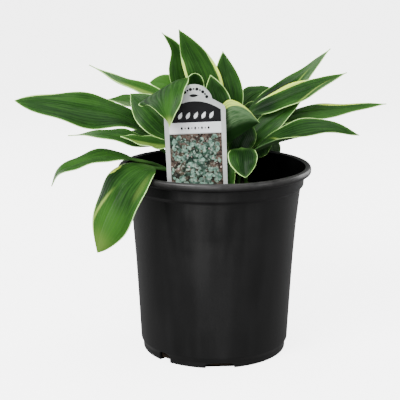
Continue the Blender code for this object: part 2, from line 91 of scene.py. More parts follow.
# Plant label
LABEL_Y = -45.0
LABEL_TIP_X = -12.6
LABEL_TIP_Z = 102.0
LABEL_LEAN = 2.3  # degrees, top towards -X
LABEL_LENGTH = 141.0
LABEL_WIDTH = 51.6
LABEL_THICK = 0.8
LABEL_ARCH = 15.4  # radius of the round top
ARCH_CENTRE = LABEL_LENGTH - LABEL_ARCH
LABEL_POINT = 26.0  # height of the pointed foot
LABEL_POINT_IN = 6.5  # how much narrower than the card the foot's top is
LABEL_SHOULDER = 21.5  # drop from the top of the arch to the shoulders
ARCH_STEPS = 24
PRINT_HALF = 21.8  # half width of the printed panels
PRINT_THICK = 0.08
PICTURE = (40.0, 99.6)  # foot and top of the printed foliage
BAND = (100.4, 109.2)  # foot and top of the white band above it
PANEL = (109.2, 119.4, 127.0)  # foot, shoulders and top of the dark arched panel
LOZENGE_Z = 104.4
LOZENGE_HALVES = (1.0, 0.6)  # half widths, taken in turn
BEAD_ARCH = 11.6  # radius of the arch of beads
BEAD_RADII = (1.35, 0.8)  # taken in turn
CREST_MARK = (-4.0, 131.6, 8.0, 2.6, 0)  # a leaf mark's place, length, width and direction
ROW_MARK = (112.2, 6.6, 3.0, 62)  # the same without its place along the row
MOTIFS = 330
FLOWER_SHARE = 0.12
BROWN_SHARE = 0.12  # of the motifs that are no flowers
MOTIF_LAYER = 0.0006  # each motif stands this much further out than the last

# Leaves
BLADE_THICK = 0.8
EDGE_THICK = 0.45
STALK_THICK = 2.8
STALK_HALF = 1.6  # half width of a leaf stalk
STALK_DEPTH = 14.0  # how far a stalk stands in the soil
TIP_HALF = 0.4
CURVE_STEPS = 24  # steps of a smooth curve between two given points
OPENING = 12  # the larger, the sooner a blade opens out of its stalk
STALK_FADE = 10  # the larger, the sooner the stalk's thickness ends in the blade
WAVE_SHIFT = 0.37  # the right margin's waves come this part of a wave later
STALK_ROWS = 14
BLADE_ROWS = 52
VEINS = 7  # side veins on each half of a blade
COLUMNS = VEINS * 6
VEIN_DEPTH = 0.28
QUILT_LOW = 0.6  # how much of the swell between veins lies below the blade's face
FULL_QUILT = 14.0  # half width from which the veins have their full depth
RIB_DEPTH = 0.5
RIB_HALF = 1.1
STALK_NO_MARGIN = 40.0  # keeps the cream margin off the stalk
CROWN_RADIUS = 42.0  # painted shade: the leaves are darker within about this distance of the middle
CROWN_SHADE = 0.5
FACTS = ("across", "along", "edge", "cream", "pale", "dull", "tone", "stem")  # kept on a leaf's points

# Colours and gloss
# Painted shade: the nearly black green of leaves that lie in shade.
SHADE_GREEN = (0.0016, 0.0085, 0.0022)
DARK_GREEN = (0.005, 0.025, 0.003)
MIDDLE_GREEN = (0.0105, 0.044, 0.006)
LIGHT_GREEN = (0.045, 0.142, 0.018)
VEIN_GREEN = (0.028, 0.095, 0.018)
YELLOW_GREEN = (0.30, 0.45, 0.08)
CREAM = (0.56, 0.93, 0.38)
CREAM_YELLOW = (0.53, 0.85, 0.19)
BAND_YELLOW = (0.80, 0.96, 0.03)
# Painted shade on the undersides of leaves that lie in shade.
UNDER_SHADE = (0.008, 0.03, 0.006)
UNDER_DARK = (0.035, 0.085, 0.03)
UNDER_LIGHT = (0.10, 0.18, 0.08)
UNDER_VEIN = (0.16, 0.26, 0.12)
STALK_GREEN = (0.015, 0.05, 0.01)
STALK_PALE = (0.05, 0.12, 0.025)
POT_BLACK = (0.0025, 0.0025, 0.0026)
POT_GREY = (0.005, 0.005, 0.0052)
# Dust specks, and dust with a painted highlight on the lip's top.
POT_DUST_AND_SHEEN = (0.03, 0.029, 0.028)
# Rubbed smear with a painted highlight, on the front of the pot.
POT_RUBBED_SHEEN = (0.0115, 0.0114, 0.0112)
RUBBED_SHEEN_PLACE = (-0.014, -0.072, 0.130)  # middle of the hazy patch on the front, a rubbed smear with a painted highlight (metres)
# Painted shade: the inner wall is darker than the outside.
POT_INNER_SHADE = (0.0008, 0.0008, 0.0008)
POT_SHINE = 0.38
POT_INNER_SHINE = 0.03
LEAF_SHINE = 0.09
VEIN_SHOW = 0.45  # how strongly the veins' colour shows
SOIL_DARK = (0.004, 0.0028, 0.002)
SOIL_BROWN = (0.02, 0.013, 0.008)
SOIL_BARK = (0.05, 0.032, 0.018)
CARD_COLOURS = ((0.44, 0.46, 0.45), (0.52, 0.54, 0.53))
WHITE_COLOURS = ((0.76, 0.77, 0.78), (0.84, 0.85, 0.86))
INK_COLOURS = ((0.004, 0.004, 0.0045), (0.007, 0.007, 0.008))
GROUND_GREENS = ((0.004, 0.012, 0.008), (0.03, 0.08, 0.05))
GROUND_BROWNS = ((0.012, 0.008, 0.006), (0.13, 0.09, 0.07))
GROUND_SPOT = (0.35, 0.36, 0.3)
MOTIF_PALE = (0.45, 0.54, 0.45)
MOTIF_DARK = (0.01, 0.03, 0.02)
PETAL = (0.7, 0.5, 0.46)
GREEN_LEAF = (0.22, 0.39, 0.30)
BROWN_LEAF = (0.10, 0.075, 0.05)

# Light: each lamp's name, place and size (metres) and power
LAMPS = (
    ("lamp_key", (-0.7, -0.9, 1.1), 0.7, 30.0),
    ("lamp_top", (0.1, 0.1, 1.5), 1.0, 9.0),
    ("lamp_fill", (1.1, -0.8, 0.6), 0.8, 7.0),
    ("lamp_front", (-0.25, -1.5, 0.45), 0.9, 14.0),
    ("lamp_back_left", (-0.9, 0.7, 0.35), 0.7, 8.0),
    ("lamp_back_right", (0.9, 0.7, 0.35), 0.7, 8.0),
)
LAMP_AIM = (-0.01, 0, 0.15)
WORLD_LIGHT = 0.35
FLOOR_COLOURS = ((0.86, 0.86, 0.86), (0.9, 0.9, 0.9))
FLOOR_GLOW = 4.5
FLOOR_REACH = 40.0  # half width of the floor (metres)


# --- leaf shapes ---

def leaf(name, root, rib, half, face, **more):
    """One leaf: where its stalk stands, the rib's points from blade base to tip, the
    half widths left and right of the rib (seen from the root, face up), the way its
    upper face looks at the base and at the tip, and its outline. Each half leaves the
    rib at the fold angle and turns by the curl angle until its margin.

    Its looks are a level from 0 dark to 1 light, or below 0 for nearly black, which
    is partly the leaf's own colour and partly painted light and shade, and the cream
    margin's widths left and right of the rib. Patches, as humps() takes them, lighten
    or darken it, as painted light and shade and as the leaf's own patches, widen the
    margin (in millimetres), make the blade paler or show the dull colour of an underside."""
    return dict(PLAIN_LEAF, name=name, root=root, rib=rib, half=half, face=face, **more)


PLAIN_LEAF = dict(belly=(0.42, 0.42), taper=(1.0, 1.0), fold=(12, 12), curl=(-14, -14),
                  wave=(1.0, 2.5, 0.0), heart=0.2, stalk=(), tone=0.0, cream=(0.2, 0.2),
                  light=(), wide=(), pale=(), dull=())

LEAVES = (
    # left side
    leaf("leaf_01_long_left", (-20, 4),
         ((-54, -6, 193), (-76, -13, 209), (-115, -22, 220), (-148, -28, 226), (-169, -30, 227)),
         (23, 15.5), ((0.2, -0.6, 0.75), (0, -0.6, 0.8)), belly=(0.58, 0.45), taper=(0.9, 0.85),
         wave=(3, 2, 0.81),
         tone=0.08, cream=(0.3, 0.4), wide=((0.82, 1, 0.12, 0.6, 1.3),),
         light=((0.6, 0.45, 0.25, 0.2, 0.35), (0.55, -0.6, 0.4, 0.3, -0.45), (0, 0, 0.35, 2, -0.5))),
    leaf("leaf_02_back_left", (-18, 13), ((-45, 42, 203), (-72, 46, 215), (-97, 46, 217)),
         (13, 11), ((0.2, -0.4, 0.9), (-0.1, -0.4, 0.9)),
         tone=0.45, cream=(0.5, 0.4), dull=((0.6, -1, 0.5, 0.7, 0.9),), pale=((0.6, -1, 0.4, 0.5, 0.5),)),
    leaf("leaf_03_thin_tip", (-11, 4), ((-35, 12, 221), (-57, 14, 230), (-83, 10, 240), (-109, 5, 253)),
         (9, 5), ((0.4, -0.6, 0.7), (0.2, -0.7, 0.6)), belly=(0.35, 0.35), taper=(1.6, 1.6), fold=(18, 18),
         tone=0.6, cream=(0.9, 0.5), dull=((0.85, 0, 0.25, 2, 0.9),), pale=((0.35, -0.8, 0.4, 0.4, 0.5),)),
    leaf("leaf_04_curled", (-10, 14), ((-23, 30, 204), (-31, 33, 223), (-44, 33, 233), (-58, 32, 234)),
         (11, 11), ((0.4, -0.8, 0.4), (0.1, -0.8, 0.6)), belly=(0.5, 0.5), taper=(0.8, 0.8),
         tone=0.9, cream=(0.4, 0.6)),
    leaf("leaf_05_over_label", (-4, -17),
         ((-27, -24, 243), (-33, -42, 244), (-36, -54, 234), (-38, -60, 221), (-38, -63, 210)),
         (11, 41), ((-0.35, -0.3, 0.9), (-0.4, -0.85, 0.4)), belly=(0.4, 0.42), taper=(0.9, 2),
         fold=(0, -12), heart=0, stalk=((-17, -15, 208),),
         tone=0.12, cream=(0.4, 0.5), pale=((1, 0, 0.12, 1.2, 0.8),),
         light=((0.75, 0, 0.25, 0.4, 0.45), (0.35, 0.75, 0.3, 0.4, -0.45))),
    leaf("leaf_06_behind_label", (-4, -9), ((-14, -6, 222), (-17, -5, 236), (-17, -8, 247.5)),
         (8, 8), ((0, -1, 0.1), (0, -1, 0.3)), belly=(0.6, 0.6), taper=(0.5, 0.5),
         tone=-0.3, cream=(0.6, 0.6)),
    leaf("leaf_07_left_of_label", (-12, -12),
         ((-34, -13, 188), (-50, -12, 209), (-64, -7, 222), (-73, -2, 229)),
         (15.5, 17), ((-0.2, -0.8, 0.6), (-0.3, -0.8, 0.5)), belly=(0.52, 0.42),
         tone=0.05, cream=(0.5, 0.3)),
    leaf("leaf_08_low_left", (-19, -4),
         ((-52, -20, 187), (-72, -33, 195), (-97, -41, 200), (-123, -46, 200)),
         (11, 11), ((0.2, -0.5, 0.9), (-0.1, -0.4, 0.9)), belly=(0.33, 0.35), taper=(2.1, 1.9),
         tone=0.2, cream=(0.3, 0.3), dull=((1, 0, 0.3, 2, 0.9),)),
    leaf("leaf_09_front_left", (-10, -20), ((-38, -30, 189), (-57, -38, 194), (-79, -50, 200)),
         (12, 7), ((0.1, -0.4, 0.9), (0, -0.4, 0.9)),
         tone=0.35, cream=(0.5, 0.4), pale=((0.45, -0.7, 0.5, 0.3, 0.4),)),
    leaf("leaf_10_inner_right", (16.5, -19), ((17, -19, 170), (22, -18, 187), (30, -15, 205)),
         (10, 11), ((0, -1, 0.2), (0, -1, 0.3)), belly=(0.5, 0.65), taper=(1, 0.7),
         tone=-0.6, cream=(0, 0)),
    leaf("leaf_11_arching", (-18, -12),
         ((-69, -40, 178.5), (-91, -48, 182.5), (-114, -55, 178), (-131, -60, 170), (-136, -61, 160)),
         (13, 14), ((0.1, -0.25, 1), (-0.9, -0.3, 0.4)), belly=(0.5, 0.4), stalk=((-43, -26, 168),),
         tone=0.22, cream=(0.4, 0.5), light=((0.7, 0.3, 0.3, 0.5, 0.25),)),
    leaf("leaf_12_over_rim", (-14, -22),
         ((-50, -45, 172), (-61, -56, 172.5), (-75, -65, 163), (-86, -67, 145), (-96, -65, 120),
          (-99, -61, 103)),
         (29.5, 22), ((-0.1, -0.35, 0.93), (-0.7, -0.7, 0.1)), belly=(0.54, 0.38), taper=(0.9, 0.9),
         fold=(6, 6), heart=0.35,
         tone=0.22, cream=(0.5, 0.4), wide=((0.3, 1, 0.06, 0.5, 3), (0.78, 1, 0.14, 0.5, 1.4)),
         pale=((0.63, 0.64, 0.17, 0.09, 0.75, 1.7), (0.3, -0.75, 0.12, 0.12, 0.15), (1, 0, 0.2, 1.2, 0.3)),
         light=((0.42, 0.75, 0.25, 0.35, -0.9, 0.6), (0.85, -0.1, 0.35, 0.9, 0.6),
                (0.3, -0.2, 0.25, 0.5, -0.35))),
    # middle
    leaf("leaf_13_top_left", (-4, 8), ((-22, 20, 210), (-32, 21, 246), (-34, 18, 265), (-46, 15, 280)),
         (9, 11), ((-0.2, -0.9, 0.3), (-0.3, -0.9, 0.1)), belly=(0.35, 0.35), taper=(1.2, 1.1),
         tone=-0.1, cream=(0.3, 0.4), wide=((0.55, 1, 0.16, 0.7, 1.6),)),
    leaf("leaf_14_top_middle", (2, -3), ((0, 3, 208), (-8, 5, 244), (-19, 3, 266), (-31, 0, 284)),
         (17, 12.5), ((0.05, -0.95, 0.3), (0, -1, 0.1)), belly=(0.45, 0.36), fold=(8, 8),
         tone=0.5, cream=(0.2, 0.4), wide=((0.42, 1, 0.2, 0.4, 2.4), (0.6, -1, 0.13, 0.5, 2.2)),
         light=((0.6, 0.3, 0.35, 0.4, 0.25), (0.45, -0.3, 0.4, 0.3, -0.4))),
    leaf("leaf_15_top_right", (7, 3), ((18, 11, 205), (16, 12, 234), (11, 13, 251), (7, 14, 264)),
         (14, 8), ((0.1, -0.9, 0.3), (0.1, -1, 0.1)), belly=(0.55, 0.4),
         tone=0.15, cream=(0.5, 0.3)),
    leaf("leaf_16_behind_label", (4, -12), ((7, -17, 208), (0, -16, 232), (-4, -16, 247)),
         (11, 11), ((0.1, -0.9, 0.3), (0.1, -1, 0.1)),
         tone=-0.1, cream=(0.4, 0.5)),
    # right side
    # Painted light and shade: this cupped leaf is darkened along its lower part and lightened near its
    # crest.
    leaf("leaf_17_cupped", (9, -18), ((11, -27, 189), (23, -37, 201), (36.5, -43, 210.5)),
         (10, 32.5), ((0, -0.2, 1), (0, -0.2, 1)), belly=(0.5, 0.6), taper=(0.9, 0.4), fold=(25, 50),
         curl=(-14, 75),
         tone=0.1, cream=(0.4, 0.6), wide=((0.2, 1, 0.75, 0.6, 6.5),),
         light=((0.45, 0, 0.8, 0.38, -1.1), (0, 0.4, 0.25, 0.5, -0.8), (0.6, 0.6, 0.4, 0.3, 0.25))),
    leaf("leaf_18_back_right", (12, 17), ((24, 38, 211), (37, 46, 221), (52, 50, 227)),
         (12, 12), ((-0.2, -0.6, 0.8), (-0.1, -0.6, 0.8))),
    leaf("leaf_19_upper_right", (15, 10), ((31, 16, 212), (46, 17, 224), (71, 17, 239), (101, 15, 266)),
         (7, 13), ((-0.3, -0.6, 0.7), (-0.3, -0.7, 0.6)), belly=(0.4, 0.4), taper=(1.2, 1.4),
         tone=0.1, cream=(0.3, 0.4), pale=((0.6, 0.3, 0.2, 0.06, 0.7, -2),),
         dull=((0.95, 0, 0.3, 2, 0.9), (0.6, 0.9, 0.2, 0.4, 0.6)), light=((0.2, 0, 0.35, 2, -0.8),)),
    leaf("leaf_20_right", (15, 1), ((28, 0, 209), (50, 0, 220), (78, 0, 232), (114, 0, 247)),
         (12, 12), ((-0.3, -0.6, 0.7), (-0.3, -0.6, 0.7)), taper=(1.3, 1.3),
         tone=-0.1, cream=(0.5, 0.4), wide=((0.44, -1, 0.19, 0.5, 3.8),),
         pale=((0.66, 0.55, 0.2, 0.06, 0.8, -2.2),), dull=((0.82, 0.8, 0.2, 0.5, 0.5),),
         light=((0.05, 0, 0.25, 2, -0.8), (0.5, -0.1, 0.2, 0.5, -0.3))),
    leaf("leaf_21_pointing_right", (14, -12), ((27, -7, 182), (42, -4, 200), (61, -3, 214), (75, -3, 223)),
         (9, 12), ((-0.4, -0.8, 0.5), (-0.4, -0.8, 0.5)), belly=(0.4, 0.4),
         tone=0.15, cream=(0.4, 0.3)),
    leaf("leaf_22_long_right", (21, 5), ((38, 8, 197), (75, 10, 210), (114, 8, 215), (150, 5, 219)),
         (8, 15), ((-0.1, -0.45, 0.9), (0, -0.4, 0.9)), belly=(0.45, 0.45), taper=(1, 1.3),
         tone=-0.05, cream=(0.5, 0.3), wide=((0.66, -1, 0.16, 0.6, 4.5),),
         light=((0.6, 0.5, 0.6, 0.6, 0.45),)),
    leaf("leaf_23_low_right", (20, -8),
         ((31, -26, 181), (49, -34, 191), (71, -39, 198), (92, -41, 202), (121, -39, 199)),
         (21, 22), ((-0.1, -0.1, 1), (0.1, -0.3, 1)), belly=(0.45, 0.45), fold=(28, 28),
         tone=-0.3, cream=(0.6, 0.3), wide=((0.1, 1, 0.3, 0.5, -0.6),),
         pale=((0.36, 0.25, 0.14, 0.07, 0.8, 5),), dull=((0.22, 0.7, 0.16, 0.7, 0.95, 4),)),
    # Painted light: a high level and a pale patch lighten this leaf where it lies in shade.
    leaf("leaf_24_back_rim", (14, 22), ((25, 46, 182), (41, 67, 180), (55, 84, 168), (61, 91, 146)),
         (12, 12), ((0, 0, 1), (0.6, 0.8, 0.2)),
         tone=0.6, cream=(0.4, 0.6), dull=((0.5, 0, 1, 2, 0.9),), pale=((0.5, 0, 1, 2, 0.25),)),
    leaf("leaf_25_front_heart", (12, -25), ((23, -38, 187), (23.5, -50, 179.5), (25, -57, 166.5)),
         (12, 13), ((0, -0.3, 1), (0, -1, 0.2)), belly=(0.38, 0.38), taper=(0.8, 0.8), heart=0.35,
         tone=-0.6, cream=(0.3, 0.7), light=((0.5, 0.6, 0.3, 0.3, 0.5),)),
    leaf("leaf_26_front", (5, -26), ((8, -35, 187), (10, -39, 176), (14, -42, 150)),
         (6, 6), ((0, -0.3, 1), (0, -1, 0.2))),
    leaf("leaf_33_low_inner", (28, 10), ((34, 14, 171), (41, 17, 177), (52, 19, 182)),
         (7, 8), ((-0.2, -1, 0.3), (-0.2, -1, 0.4)),
         tone=-0.6, cream=(0, 0)),
    # back
    leaf("leaf_27_back", (2, 20), ((5, 45, 188), (9, 80, 198), (12, 112, 190), (12, 135, 172)),
         (24, 24), ((0, 0, 1), (0, 0.5, 0.9)), heart=0.3),
    leaf("leaf_28_back_left", (-12, 22), ((-30, 45, 188), (-52, 75, 196), (-66, 98, 186), (-72, 112, 170)),
         (19, 19), ((0, 0, 1), (-0.3, 0.4, 0.9)), heart=0.3),
    leaf("leaf_29_back_right", (21, 14), ((36, 32, 182), (58, 54, 190), (78, 76, 188), (90, 92, 176)),
         (17, 17), ((0, 0, 1), (0.3, 0.4, 0.9)), heart=0.3),
    leaf("leaf_30_back_upright", (-4, 17), ((-3, 26, 208), (-8, 40, 232), (-12, 54, 248)),
         (13, 13), ((0, -0.6, 0.8), (0, -0.7, 0.7))),
    leaf("leaf_31_back_side", (6, 13), ((23, 20, 201), (36, 24, 209), (54, 28, 212)),
         (12, 14), ((-0.2, -0.6, 0.8), (-0.1, -0.6, 0.8))),
    leaf("leaf_32_back_low", (-20, 20), ((-42, 34, 176), (-66, 46, 184), (-88, 56, 184)),
         (15, 15), ((0, 0, 1), (-0.2, 0, 1))),
)


def unit(vectors):
    """The same vectors at length one, along the last axis."""
    vectors = np.asarray(vectors, float)
    return vectors / np.linalg.norm(vectors, axis=-1, keepdims=True)


def smooth_curve(points, first_tangent):
    """Dense points of a cubic curve through the given points, CURVE_STEPS from each to
    the next. The curve leaves the first along first_tangent."""
    points = np.asarray(points, float)
    spans = np.linalg.norm(np.diff(points, axis=0), axis=1)
    slopes = np.diff(points, axis=0) / spans[:, None]
    near, far = spans[:-1, None], spans[1:, None]
    inner = (slopes[:-1] * far + slopes[1:] * near) / (near + far)
    tangents = np.vstack([first_tangent, inner, slopes[-1:]])
    t = np.arange(1, CURVE_STEPS + 1)[:, None] / CURVE_STEPS
    dense = [points[:1]]
    for i, span in enumerate(spans):
        dense.append((2 * t**3 - 3 * t**2 + 1) * points[i] + (3 * t**2 - 2 * t**3) * points[i + 1]
                     + (t**3 - 2 * t**2 + t) * span * tangents[i] + (t**3 - t**2) * span * tangents[i + 1])
    return np.vstack(dense)


def even_points(line, count):
    """count + 1 points at equal distances along a dense line."""
    walked = np.concatenate(([0], np.cumsum(np.linalg.norm(np.diff(line, axis=0), axis=1))))
    wanted = np.linspace(0, walked[-1], count + 1)
    return np.column_stack([np.interp(wanted, walked, line[:, axis]) for axis in range(3)])


def outline(s, belly, taper):
    """Half width of a blade at s, from 0 at its base to 1 at its tip; 1 at the belly."""
    rise = taper * belly / (1 - belly)
    return (s / belly)**rise * ((1 - s) / (1 - belly))**taper


def rolled(reach, full, fold, curl):
    """How far out and how far up a blade's half has come at a reach from the rib. Its
    slope goes from the fold to fold + curl, in degrees, at the full reach."""
    start, turn = math.radians(fold), math.radians(curl)
    if abs(turn) < 0.001:
        return reach * math.cos(start), reach * math.sin(start)
    end = start + turn * reach / full
    return (full / turn * (math.sin(end) - math.sin(start)),
            full / turn * (math.cos(start) - math.cos(end)))


def leaf_frame(centres, faces):
    """Directions forward, to the right and upward at every row. Along the blade the
    upward one follows the given faces, and down the stalk it is carried on untwisted."""
    tangents = unit(np.gradient(centres, axis=0))
    rights = np.empty_like(centres)
    rights[STALK_ROWS:] = unit(np.cross(tangents[STALK_ROWS:], faces))
    for row in range(STALK_ROWS - 1, -1, -1):
        carried = rights[row + 1] - tangents[row] * np.dot(rights[row + 1], tangents[row])
        rights[row] = unit(carried)
    return tangents, rights, np.cross(rights, tangents)


def humps(patches, s, a):
    """The sum at s along and a across of smooth patches, each given as its middle
    along and across, its half lengths along and across, its strength and, where it
    runs aslant, how far across it moves along the leaf."""
    total = 0.0
    for middle, across, half_long, half_wide, strength, *slant in patches:
        centre = across + (slant[0] * (s - middle) if slant else 0)
        far = ((s - middle) / half_long)**2 + ((a - centre) / half_wide)**2
        total += strength * math.exp(-far * far)
    return total


def cream_width(leaf, side, s, a, seed):
    """Width of the pale margin at s, in millimetres, wandering a little by itself."""
    wander = noise.noise(Vector((s * 5, (seed + side * 3) * 7.3, 0.5)))
    return leaf["cream"][side] * (1 + 0.5 * wander) + humps(leaf["wide"], s, a)


def leaf_sheet(leaf, seed):
    """The leaf's middle surface as a grid of points, its normals and thicknesses, and
    the values that its colours follow."""
    x, y = leaf["root"]
    dense = smooth_curve([(x, y, SOIL_LEVEL + 2), *leaf["stalk"], *leaf["rib"]], (0, 0, 1))
    base = CURVE_STEPS * (1 + len(leaf["stalk"]))
    centres = np.vstack([(x, y, SOIL_LEVEL - STALK_DEPTH),
                         even_points(dense[:base + 1], STALK_ROWS - 1),
                         even_points(dense[base:], BLADE_ROWS)[1:]])
    along = np.concatenate([np.zeros(STALK_ROWS), np.linspace(0, 1, BLADE_ROWS + 1)])
    blade_s = along[STALK_ROWS:, None]
    faces = (1 - blade_s) * np.array(leaf["face"][0]) + blade_s * np.array(leaf["face"][1])
    tangents, rights, ups = leaf_frame(centres, faces)

    across = np.linspace(-1, 1, COLUMNS + 1)
    shape = (len(centres), COLUMNS + 1)
    sheet = np.empty((*shape, 3))
    thick = np.empty(shape)
    raised = np.empty(shape)
    facts = np.empty((len(FACTS), *shape))
    size, beats, phase = leaf["wave"]
    for row, s in enumerate(along):
        in_blade = row > STALK_ROWS
        spread = 1 - (1 - s)**OPENING if in_blade else 0.0
        stout = (1 - s)**STALK_FADE if in_blade else 1.0
        for column, a in enumerate(across):
            side = 0 if a < 0 else 1
            full = STALK_HALF * stout + TIP_HALF * (1 - stout)
            if in_blade:
                open_half = leaf["half"][side] * outline(s, leaf["belly"][side], leaf["taper"][side])
                full = max(full, open_half)
            reach = full * abs(a)
            out, lift = rolled(reach, full, leaf["fold"][side] * spread, leaf["curl"][side] * spread)
            ripple = size * spread * math.sin(math.pi * s) * a * a
            ripple *= math.sin(2 * math.pi * (beats * s + phase + WAVE_SHIFT * side))
            back = leaf["heart"] * reach * abs(a) * (1 - s)**5 * spread
            sheet[row, column] = (centres[row] + rights[row] * math.copysign(out, a)
                                  + ups[row] * (lift + ripple) - tangents[row] * back)
            blade_here = EDGE_THICK + (BLADE_THICK - EDGE_THICK) * (1 - a**4)
            thick[row, column] = blade_here * (1 - stout) + STALK_THICK * (1 - 0.5 * a * a) * stout
            quilt = (abs(math.sin(math.pi * VEINS * a)) - QUILT_LOW) * min(1, full / FULL_QUILT)
            swell = VEIN_DEPTH * quilt * (1 - a**6) * (1 - s**3)
            groove = RIB_DEPTH * math.exp(-(reach / RIB_HALF)**2) * (1 - s)
            raised[row, column] = spread * (swell - groove)
            # Painted shade: the leaves are darkened near the crown, where shade falls among them.
            crown = math.hypot(*sheet[row, column, :2]) / CROWN_RADIUS
            facts[:, row, column] = (
                a, s, full - reach + STALK_NO_MARGIN * stout**3,
                cream_width(leaf, side, s, a, seed), humps(leaf["pale"], s, a),
                humps(leaf["dull"], s, a),
                leaf["tone"] + humps(leaf["light"], s, a) - CROWN_SHADE * math.exp(-crown**2), stout)
    normals = unit(np.cross(np.gradient(sheet, axis=1), np.gradient(sheet, axis=0)))
    return sheet + normals * raised[..., None], normals, thick, facts


def leaf_piece(leaf, seed, finish):
    """A fine closed leaf with the values its material reads."""
    sheet, normals, thick, facts = leaf_sheet(leaf, seed)
    below = thick.size
    offset = normals * thick[..., None] / 2
    vertices = np.concatenate([(sheet + offset).reshape(-1, 3), (sheet - offset).reshape(-1, 3)])
    grid = np.arange(below).reshape(thick.shape)
    quads = np.stack([grid[:-1, :-1], grid[:-1, 1:], grid[1:, 1:], grid[1:, :-1]], axis=-1).reshape(-1, 4)
    rim = np.concatenate([grid[0, :0:-1], grid[:-1, 0], grid[-1, :-1], grid[:0:-1, -1]])
    after = np.roll(rim, -1)
    sides = np.stack([rim, after, after + below, rim + below], axis=-1)
    faces = np.concatenate([quads, quads[:, ::-1] + below, sides]).tolist()
    made = add_object("fine_" + leaf["name"], (vertices, faces), finish, 60)
    values = {name: np.tile(fact.ravel(), 2) for name, fact in zip(FACTS, facts)}
    values["under"] = np.repeat((0, 1), below)
    values["seed"] = np.full(2 * below, seed * 3.7)
    for name, value in values.items():
        layer = made.data.attributes.new(name, "FLOAT", "POINT")
        layer.data.foreach_set("value", value.astype(np.float32))
    wear(made, "leaf", leaf["name"])


# --- objects ---

def in_scene(name, data):
    """A new object of the scene that shows the data."""
    made = bpy.data.objects.new(name, data)
    bpy.context.scene.collection.objects.link(made)
    return made


def add_object(name, shape, finish=None, smooth_angle=None):
    """A mesh object from points in millimetres, with its faces pointing out."""
    vertices, faces = shape
    mesh = bpy.data.meshes.new(name)
    mesh.from_pydata((np.array(vertices, float) * MM).tolist(), [], faces)
    work = bmesh.new()
    work.from_mesh(mesh)
    bmesh.ops.recalc_face_normals(work, faces=work.faces)
    work.to_mesh(mesh)
    work.free()
    if finish:
        mesh.materials.append(finish)
    if smooth_angle:
        mesh.shade_smooth()
        mesh.set_sharp_from_angle(angle=math.radians(smooth_angle))
    return in_scene(name, mesh)


def wear(piece, slot_name, *nodes):
    """The piece rides on the plant's one body and stands for the nodes; its slot name is not used."""
    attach(piece, "root")
    if nodes:
        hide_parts(*nodes)


def arc(x, z, radius, first, last, steps):
    """Points on an arc round (x, z), from one direction in degrees to another."""
    turns = [math.radians(first + (last - first) * step / steps) for step in range(steps + 1)]
    return [(x + radius * math.cos(turn), z + radius * math.sin(turn)) for turn in turns]


def rounded(profile):
    """The profile with each inner corner turned into a small curve."""
    points = [np.array(point, float) for point in profile]
    soft = [profile[0]]
    for before, here, after in zip(points, points[1:], points[2:]):
        start, end = [here + way * min(CORNER_ROUND / np.linalg.norm(way), 0.45)
                      for way in (before - here, after - here)]
        for step in range(ROUND_STEPS + 1):
            t = step / ROUND_STEPS
            soft.append(tuple((1 - t)**2 * start + 2 * t * (1 - t) * here + t**2 * end))
    return soft + [profile[-1]]


def pot_outside():
    """Radius and height up the outside, from the middle of the floor to the lip."""
    corner = arc(BASE_RADIUS - BASE_CORNER, BASE_CORNER, BASE_CORNER, -90, 0, 3)
    lip_low = POT_HEIGHT - LIP_DROP
    return ([(0, 0)] + corner
            + [(BASE_RADIUS + 0.1, STEP_HEIGHT - 3.6), (BASE_RADIUS + STEP_OUT, STEP_HEIGHT),
               *BARREL, (COLLAR_NECK, COLLAR_FOOT - 2.4), (COLLAR_RADIUS - 0.6, COLLAR_FOOT),
               (COLLAR_RADIUS, lip_low - 1.2),
               (LIP_RADIUS - 2.2, lip_low), (LIP_RADIUS - 0.4, lip_low + 0.6),
               (LIP_RADIUS, lip_low + 2.6), (LIP_RADIUS - 0.3, POT_HEIGHT - 1.2),
               (LIP_RADIUS - 1.4, POT_HEIGHT)])


def pot_inside():
    """Radius and height down the inside, from the lip to the middle of the floor."""
    mouth = LIP_RADIUS - LIP_TOP
    barrel = [(radius - WALL, height) for radius, height in reversed(BARREL)]
    return ([(mouth, POT_HEIGHT), (mouth - 1.2, POT_HEIGHT - 1.6),
             (COLLAR_RADIUS - WALL, POT_HEIGHT - 7), (COLLAR_RADIUS - WALL - 0.5, COLLAR_FOOT + 0.6),
             (COLLAR_NECK - WALL, COLLAR_FOOT - 3)] + barrel
            + [(BASE_RADIUS + STEP_OUT - WALL, STEP_HEIGHT + 0.4), (BASE_RADIUS - 2.3, STEP_HEIGHT - 2.6),
               (BASE_RADIUS - 3.1, FLOOR), (0, FLOOR)])


def turned(profile, sides=POT_SIDES):
    """A closed body of revolution; the profile starts and ends on the axis."""
    rings = profile[1:-1]
    turns = [2 * math.pi * side / sides for side in range(sides)]
    vertices = [(0, 0, profile[0][1])]
    for radius, height in rings:
        vertices += [(radius * math.cos(turn), radius * math.sin(turn), height) for turn in turns]
    vertices.append((0, 0, profile[-1][1]))
    last = len(vertices) - 1
    faces = []
    for side in range(sides):
        after = (side + 1) % sides
        faces.append((0, 1 + after, 1 + side))
        for ring in range(len(rings) - 1):
            low, high = 1 + ring * sides, 1 + (ring + 1) * sides
            faces.append((low + side, low + after, high + after, high + side))
        top = 1 + (len(rings) - 1) * sides
        faces.append((top + side, top + after, last))
    return vertices, faces


def prism_faces(count):
    """Faces of a body between two like outlines, given one after the other."""
    faces = [tuple(range(count)), tuple(reversed(range(count, 2 * count)))]
    for i in range(count):
        after = (i + 1) % count
        faces.append((after, i, count + i, count + after))
    return faces


